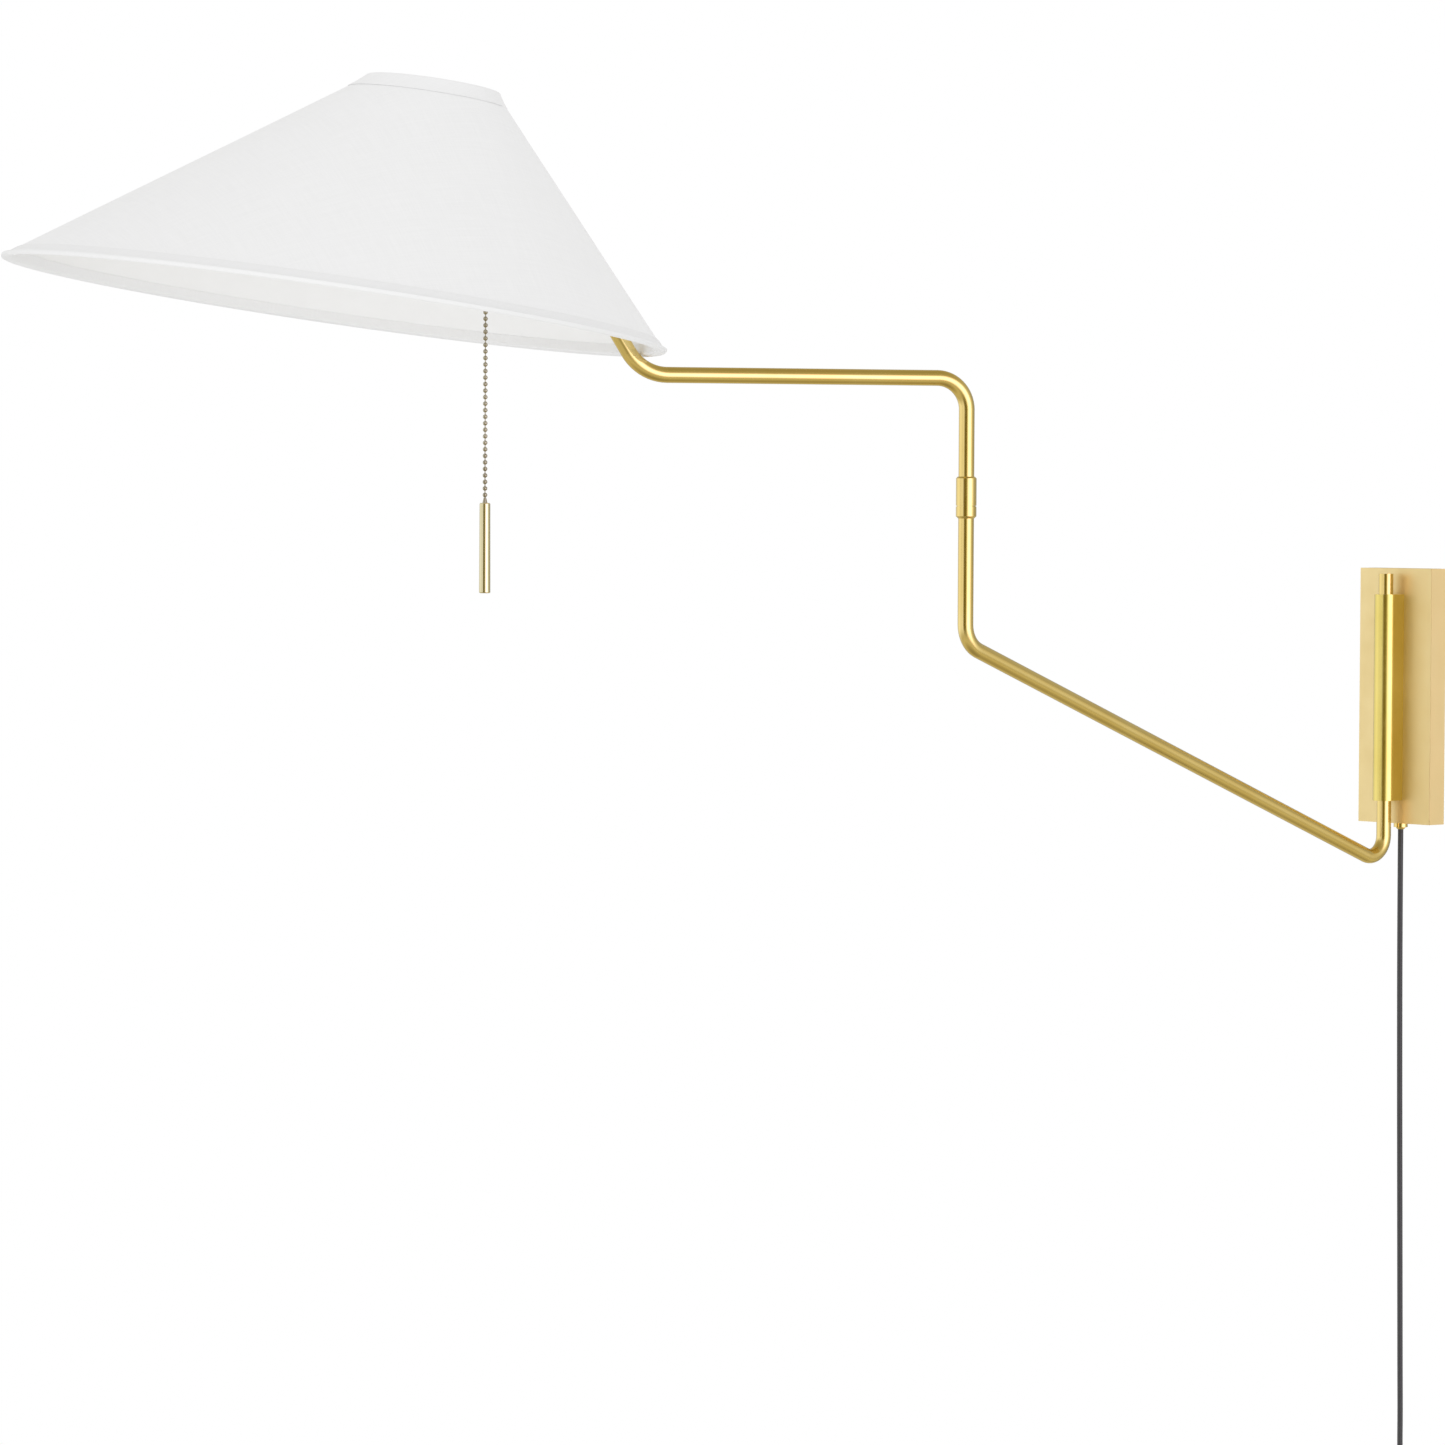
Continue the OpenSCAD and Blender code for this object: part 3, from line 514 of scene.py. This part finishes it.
def make_cord(material):
    """The power cord as one open spline: the drop, the coil and the tail to the plug."""
    route = [Vector(p) * MM for p in DROP_ROUTE]
    route += [Vector(p) for p in coil_points()]
    route += [Vector(p) * MM for p in TAIL_ROUTE]
    curve = bpy.data.curves.new("power_cord", "CURVE")
    curve.dimensions = "3D"
    curve.resolution_u = 6
    curve.bevel_depth = CORD_D / 2
    curve.bevel_resolution = 4
    curve.use_fill_caps = True
    spline = curve.splines.new("BEZIER")
    spline.bezier_points.add(len(route) - 1)
    for point, place in zip(spline.bezier_points, route):
        point.co = place
        point.handle_left_type = point.handle_right_type = "AUTO"
    curve.materials.append(material)
    cord = bpy.data.objects.new("power_cord", curve)
    bpy.context.scene.collection.objects.link(cord)
    return cord


def make_cord_strap(material):
    """A strap round the top of the coil, with its loose end lying on itself."""
    wide, thick = 8 * MM, 1.1 * MM
    squareness = 0.35
    steps, overlap = 72, 10
    rise_from, rise_over = steps - 4, 6
    deep = COIL_OUTER - (COIL_R - COIL_HALF_W)
    half_y, half_z = TURN_PITCH + thick / 2, deep / 2 + thick / 2
    centre = Vector((HANG_X, LEAD_Y, COIL_Z + COIL_R))
    rings = []
    for i in range(steps + overlap):
        a = math.tau * i / steps
        c, s = math.cos(a), math.sin(a)
        outwards = Vector((0, c, s))
        lift = thick * 1.05 * clamped((i - rise_from) / rise_over)
        path = Vector((0, half_y * squared(c, squareness), half_z * squared(s, squareness)))
        middle = centre + path + outwards * lift
        rings.append([middle + Vector((u * wide / 2, 0, 0)) + outwards * (v * thick / 2)
                      for u, v in ((-1, -1), (1, -1), (1, 1), (-1, 1))])
    points, faces = capped_loft(rings)
    return new_piece("cord_strap", points, faces, material, sharp=40)


# ---- Plug ----

# Sections of the plug, in millimetres: distance below its top, half width, half depth, and a
# squareness that is 1 for an ellipse and less for a squarer outline
PLUG_SECTIONS = [
    (0.0, 2.6, 2.6, 1.0), (0.6, 3.0, 3.0, 1.0), (9.6, 4.1, 4.1, 1.0), (10.6, 4.6, 4.6, 0.9),
    (12.5, 7.2, 5.3, 0.75), (15.0, 9.6, 5.7, 0.6), (17.4, 11.2, 5.9, 0.5),
    (19.0, 11.7, 6.0, 0.42), (37.0, 12.0, 6.0, 0.36), (37.7, 11.7, 5.7, 0.36),
    (38.0, 11.2, 5.3, 0.4)]


def plug_section(t):
    """Half width, half depth and squareness of the plug at t millimetres below its top."""
    b = next(k for k, s in enumerate(PLUG_SECTIONS) if s[0] >= t or s is PLUG_SECTIONS[-1])
    above, below = PLUG_SECTIONS[max(b - 1, 0)], PLUG_SECTIONS[b]
    span = below[0] - above[0]
    share = (t - above[0]) / span if span else 0
    return [p + (q - p) * share for p, q in zip(above[1:], below[1:])]


def groove(t, start, end, pitch, depth):
    """Depth at t of a row of rounded grooves between start and end."""
    if not start < t < end:
        return 0
    return depth * (0.5 - 0.5 * math.cos(math.tau * (t - start) / pitch)) ** 2


def make_plug(material):
    """A moulded two-pin plug: grip ribs on its sides and a slotted strain relief."""
    low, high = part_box("plug_body")
    centre = (low + high) / 2
    sides, step = 48, 0.35
    rings = []
    for i in range(int(PLUG_SECTIONS[-1][0] / step) + 1):
        t = i * step
        w, d, power = plug_section(t)
        relief = groove(t, 1.6, 9.0, 1.85, 0.7)
        grip = groove(t, 21.0, 35.0, 2.0, 0.55)
        w -= relief + grip
        d -= relief
        ring = []
        for k in range(sides):
            angle = math.tau * k / sides
            ring.append(Vector((centre.x + w * MM * squared(math.cos(angle), power),
                                centre.y + d * MM * squared(math.sin(angle), power),
                                high.z - t * MM)))
        rings.append(ring)
    points, faces = capped_loft(rings)
    return new_piece("plug", points, faces, material, sharp=60)


# ---- Shade ----

SHADE_R = 225 * MM
SHADE_NECK_R = 50.5 * MM
SHADE_TOP_R = 45.8 * MM
SHADE_H = 158.4 * MM
SHADE_OFFSET = 46.7 * MM
RING_H = 1.5 * MM
RING_R = 219.4 * MM
CLOTH_T = 0.6 * MM
LINER_T = 0.4 * MM
INNER = CLOTH_T + LINER_T
HEM_W = 7 * MM
HEM_INNER_W = 6.6 * MM
HEM_T = 0.8 * MM
HEM_EDGE = 0.05 * MM
ROLL_R = 2.0 * MM
NECK_H = SHADE_H - HEM_W
COLLAR_LAP = 3 * MM
AROUND = 288


def ring_plane(node):
    """Centre and normal of a CAD ring, from its points."""
    points = np.array([v.co for v in NODES[node].data.vertices], float)
    centre = (points.min(0) + points.max(0)) / 2
    normal = np.linalg.svd(points - points.mean(0), full_matrices=False)[2][-1]
    return Vector(centre), Vector(normal if normal[2] > 0 else -normal)


class ShadeFrame:
    """The shade's own axes: up is square to the rims, out points away from the wall."""

    def __init__(self):
        bottom, self.up = ring_plane("shade_bottom_ring")
        top, _ = ring_plane("shade_top_ring")
        across = top - bottom
        across -= self.up * across.dot(self.up)
        self.out = -across.normalized()
        self.side = self.up.cross(self.out)
        self.origin = bottom - self.up * RING_H

    def at(self, x, y, h):
        return self.origin + self.out * x + self.side * y + self.up * h

    def ring_point(self, angle, radius, h):
        """The point at an angle on a level circle of the leaning cone."""
        shift = -SHADE_OFFSET * h / SHADE_H
        return self.at(shift + radius * math.cos(angle), radius * math.sin(angle), h)


def cone_r(h):
    return SHADE_R + (SHADE_NECK_R - SHADE_R) * h / NECK_H


def on_cone(h, out=0):
    """A point of a section, out from the cone's skin by a distance along its radius."""
    return cone_r(h) + out, h


def flat_place(angle, r, h):
    """Where a point of the cone lies on the cloth's flat cut, in metres, whatever its skin's r."""
    fall = (SHADE_R - SHADE_NECK_R) / NECK_H
    slant = math.hypot(1, fall)
    reach = cone_r(h) / fall * slant
    turn = angle * fall / slant
    return reach * math.cos(turn), reach * math.sin(turn)


def tape_place(angle, r, h):
    """Where a point of a binding lies on its tape, in metres."""
    return angle * r, r + h


def revolve_on_shade(name, shade, profile, material, uv_of, ripple=None):
    """A closed section of (radius, height) pairs carried round the leaning cone."""
    points, uvs = [], []
    for k in range(AROUND + 1):
        angle = math.tau * k / AROUND
        for r, h in profile:
            extra = ripple(angle, h) if ripple else 0
            points.append(shade.ring_point(angle, r + extra, h))
            uvs.append(uv_of(angle, r, h))
    faces = loft_faces(AROUND + 1, len(profile))
    piece = new_piece(name, points, faces, material, 30, uvs)
    shape = bmesh.new()
    shape.from_mesh(piece.data)
    bmesh.ops.remove_doubles(shape, verts=shape.verts, dist=1e-7)
    bmesh.ops.recalc_face_normals(shape, faces=shape.faces)
    shape.to_mesh(piece.data)
    shape.free()
    return piece


def skin_profile(outside, inside, low, high, rows=26):
    """Both sides of a skin of the cone, outside and inside being offsets from its radius."""
    heights = [low + (high - low) * i / rows for i in range(rows + 1)]
    return ([on_cone(h, outside) for h in heights]
            + [on_cone(h, inside) for h in reversed(heights)])


def cloth_ripple(angle, h):
    """The slight unevenness of cloth on a stiff shade, and its lapped seam at the back."""
    wave_depth, fade_over = 0.22 * MM, 12 * MM
    seam, seam_half, seam_edge = math.radians(150), 6 * MM, 1.2 * MM
    place = Vector((math.cos(angle) * 2.2, math.sin(angle) * 2.2, h * 14))
    wave = wave_depth * noise.noise(place)
    fade = min(1, h / fade_over, (NECK_H - h) / fade_over)
    away = abs(angle - seam) * cone_r(h)
    lap = CLOTH_T * clamped((seam_half - away) / seam_edge)
    return wave * max(fade, 0) + lap


def make_cloth(shade, material):
    return revolve_on_shade("shade_cloth", shade, skin_profile(0, -CLOTH_T, 0, NECK_H),
                            material, flat_place, cloth_ripple)


def make_lining(shade, material):
    short = 0.5 * MM
    return revolve_on_shade(
        "shade_lining", shade, skin_profile(-CLOTH_T, -INNER, short, NECK_H - short),
        material, flat_place)


def make_bottom_hem(shade, material):
    """Cloth tape folded over the lower rim and rolled round the wire ring inside it."""
    profile = [on_cone(HEM_W), on_cone(HEM_W + HEM_EDGE, 0.6 * HEM_T),
               on_cone(HEM_W - 0.5 * MM, HEM_T), on_cone(HEM_W * 0.6, HEM_T),
               on_cone(HEM_W * 0.25, HEM_T)]
    profile += arc((SHADE_R - 1.2 * MM, 0.8 * MM), 2.1 * MM, 25, -90, 8)
    profile += arc((RING_R, RING_H), ROLL_R, -80, -175, 8)
    profile += [on_cone(HEM_INNER_W, -INNER - 0.3 * HEM_T), on_cone(HEM_INNER_W + HEM_EDGE, -INNER)]
    return revolve_on_shade("bottom_hem", shade, profile, material, tape_place)


def make_top_hem(shade, material):
    """The steep collar, which laps over the cloth, is rounded on top and rolls round its wire."""
    crown = (SHADE_TOP_R - 1.5 * MM, SHADE_H - 2 * MM)
    wire = (SHADE_TOP_R - 1.6 * MM, SHADE_H - 3.4 * MM)
    lap = NECK_H - COLLAR_LAP
    profile = [on_cone(lap), on_cone(lap - HEM_EDGE, 0.6 * HEM_T), on_cone(lap + 0.5 * MM, HEM_T),
               on_cone(NECK_H - 0.4 * MM, HEM_T), (SHADE_NECK_R + 0.2 * MM, NECK_H + 0.7 * MM)]
    profile += arc(crown, 2 * MM, 25, 170, 8)
    profile += arc(wire, ROLL_R, 160, 250, 6)
    profile += [(SHADE_NECK_R - 2.6 * MM, NECK_H + 0.2 * MM), on_cone(NECK_H, -INNER),
                (SHADE_NECK_R, NECK_H)]
    return revolve_on_shade("top_hem", shade, profile, material, tape_place)


# ---- Pull chain ----

def make_chain(material):
    """Hollow beads with pierced ends on short wire links."""
    low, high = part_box("pull_chain")
    centre = (low + high) / 2
    bead_r, pitch, beads = 1.6 * MM, 4.42 * MM, 50
    hole, lip, link_r = 0.55 * MM, 0.2 * MM, 0.4 * MM
    open_at = math.asin(hole / bead_r)
    arc_steps = 9
    half = []
    for i in range(arc_steps + 1):
        a = open_at + (math.pi - 2 * open_at) * i / arc_steps
        half.append((bead_r * math.sin(a), bead_r * math.cos(a)))
    bead = turned_part([(hole, half[0][1] - lip), *half, (hole, half[-1][1] + lip)], 16)
    link_h = pitch - 2 * bead_r + 1.2 * MM
    link = turned_part([(link_r, link_h / 2), (link_r, -link_h / 2)], 8)
    parts = []
    for i in range(beads):
        z = high.z - bead_r - i * pitch
        parts.append(moved(bead, (centre.x, centre.y, z)))
        if i < beads - 1:
            parts.append(moved(link, (centre.x, centre.y, z - pitch / 2)))
    points, faces = joined(parts)
    return new_piece("bead_chain", points, faces, material, sharp=60)


# ---- Assembly ----

bpy.context.scene.view_settings.view_transform = "Standard"
make_camera()
make_world()
make_light("fill", place=(1.6, -3.0, -0.7), aim=(-0.2, -0.9, 0.33), size=1.2, watts=13)
make_floor(place=(-0.1, -0.5, -0.80), radius=1.15)
MATERIALS = make_materials()
# Parts that take the brass copies whose tints are painted light, matching how each part looks under
# the studio light.
BRASS_TINTED_FOR_LIGHT = {"backplate_cover": "plate_brass", "barrel": "barrel_brass", "pull_bar": "pull_brass"}

cord = make_cord(MATERIALS["cord_jacket"])
strap = make_cord_strap(MATERIALS["black_plastic"])
plug = make_plug(MATERIALS["black_plastic"])
shade = ShadeFrame()
cloth_piece = make_cloth(shade, MATERIALS["linen"])
lining = make_lining(shade, MATERIALS["liner"])
# The lower hem takes the darker tape, whose colour is painted shade.
bottom_hem = make_bottom_hem(shade, MATERIALS["rim_tape"])
top_hem = make_top_hem(shade, MATERIALS["trim_tape"])
chain = make_chain(MATERIALS["chain_brass"])

for subpart in frame["record"]["subparts"]:
    material_name = BRASS_TINTED_FOR_LIGHT.get(subpart["node"], subpart["material_slot"])
    mesh = NODES[subpart["node"]].data
    mesh.materials.clear()
    mesh.materials.append(MATERIALS[material_name])

for piece, body, slot, replaced in (
        (cord, "wall_mount", "cord_jacket", ["cord_drop", "cord_coil", "cord_tail"]),
        (strap, "wall_mount", "black_plastic", ["cord_tie"]),
        (plug, "wall_mount", "black_plastic", ["plug_body"]),
        (cloth_piece, "shade_head", "linen", ["shade_fabric"]),
        (lining, "shade_head", "liner", ["shade_liner"]),
        (bottom_hem, "shade_head", "trim_tape", ["shade_bottom_trim"]),
        (top_hem, "shade_head", "trim_tape", ["shade_top_trim"]),
        (chain, "chain", "chain_brass", ["pull_chain"])):
    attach(piece, body)
    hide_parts(*replaced)
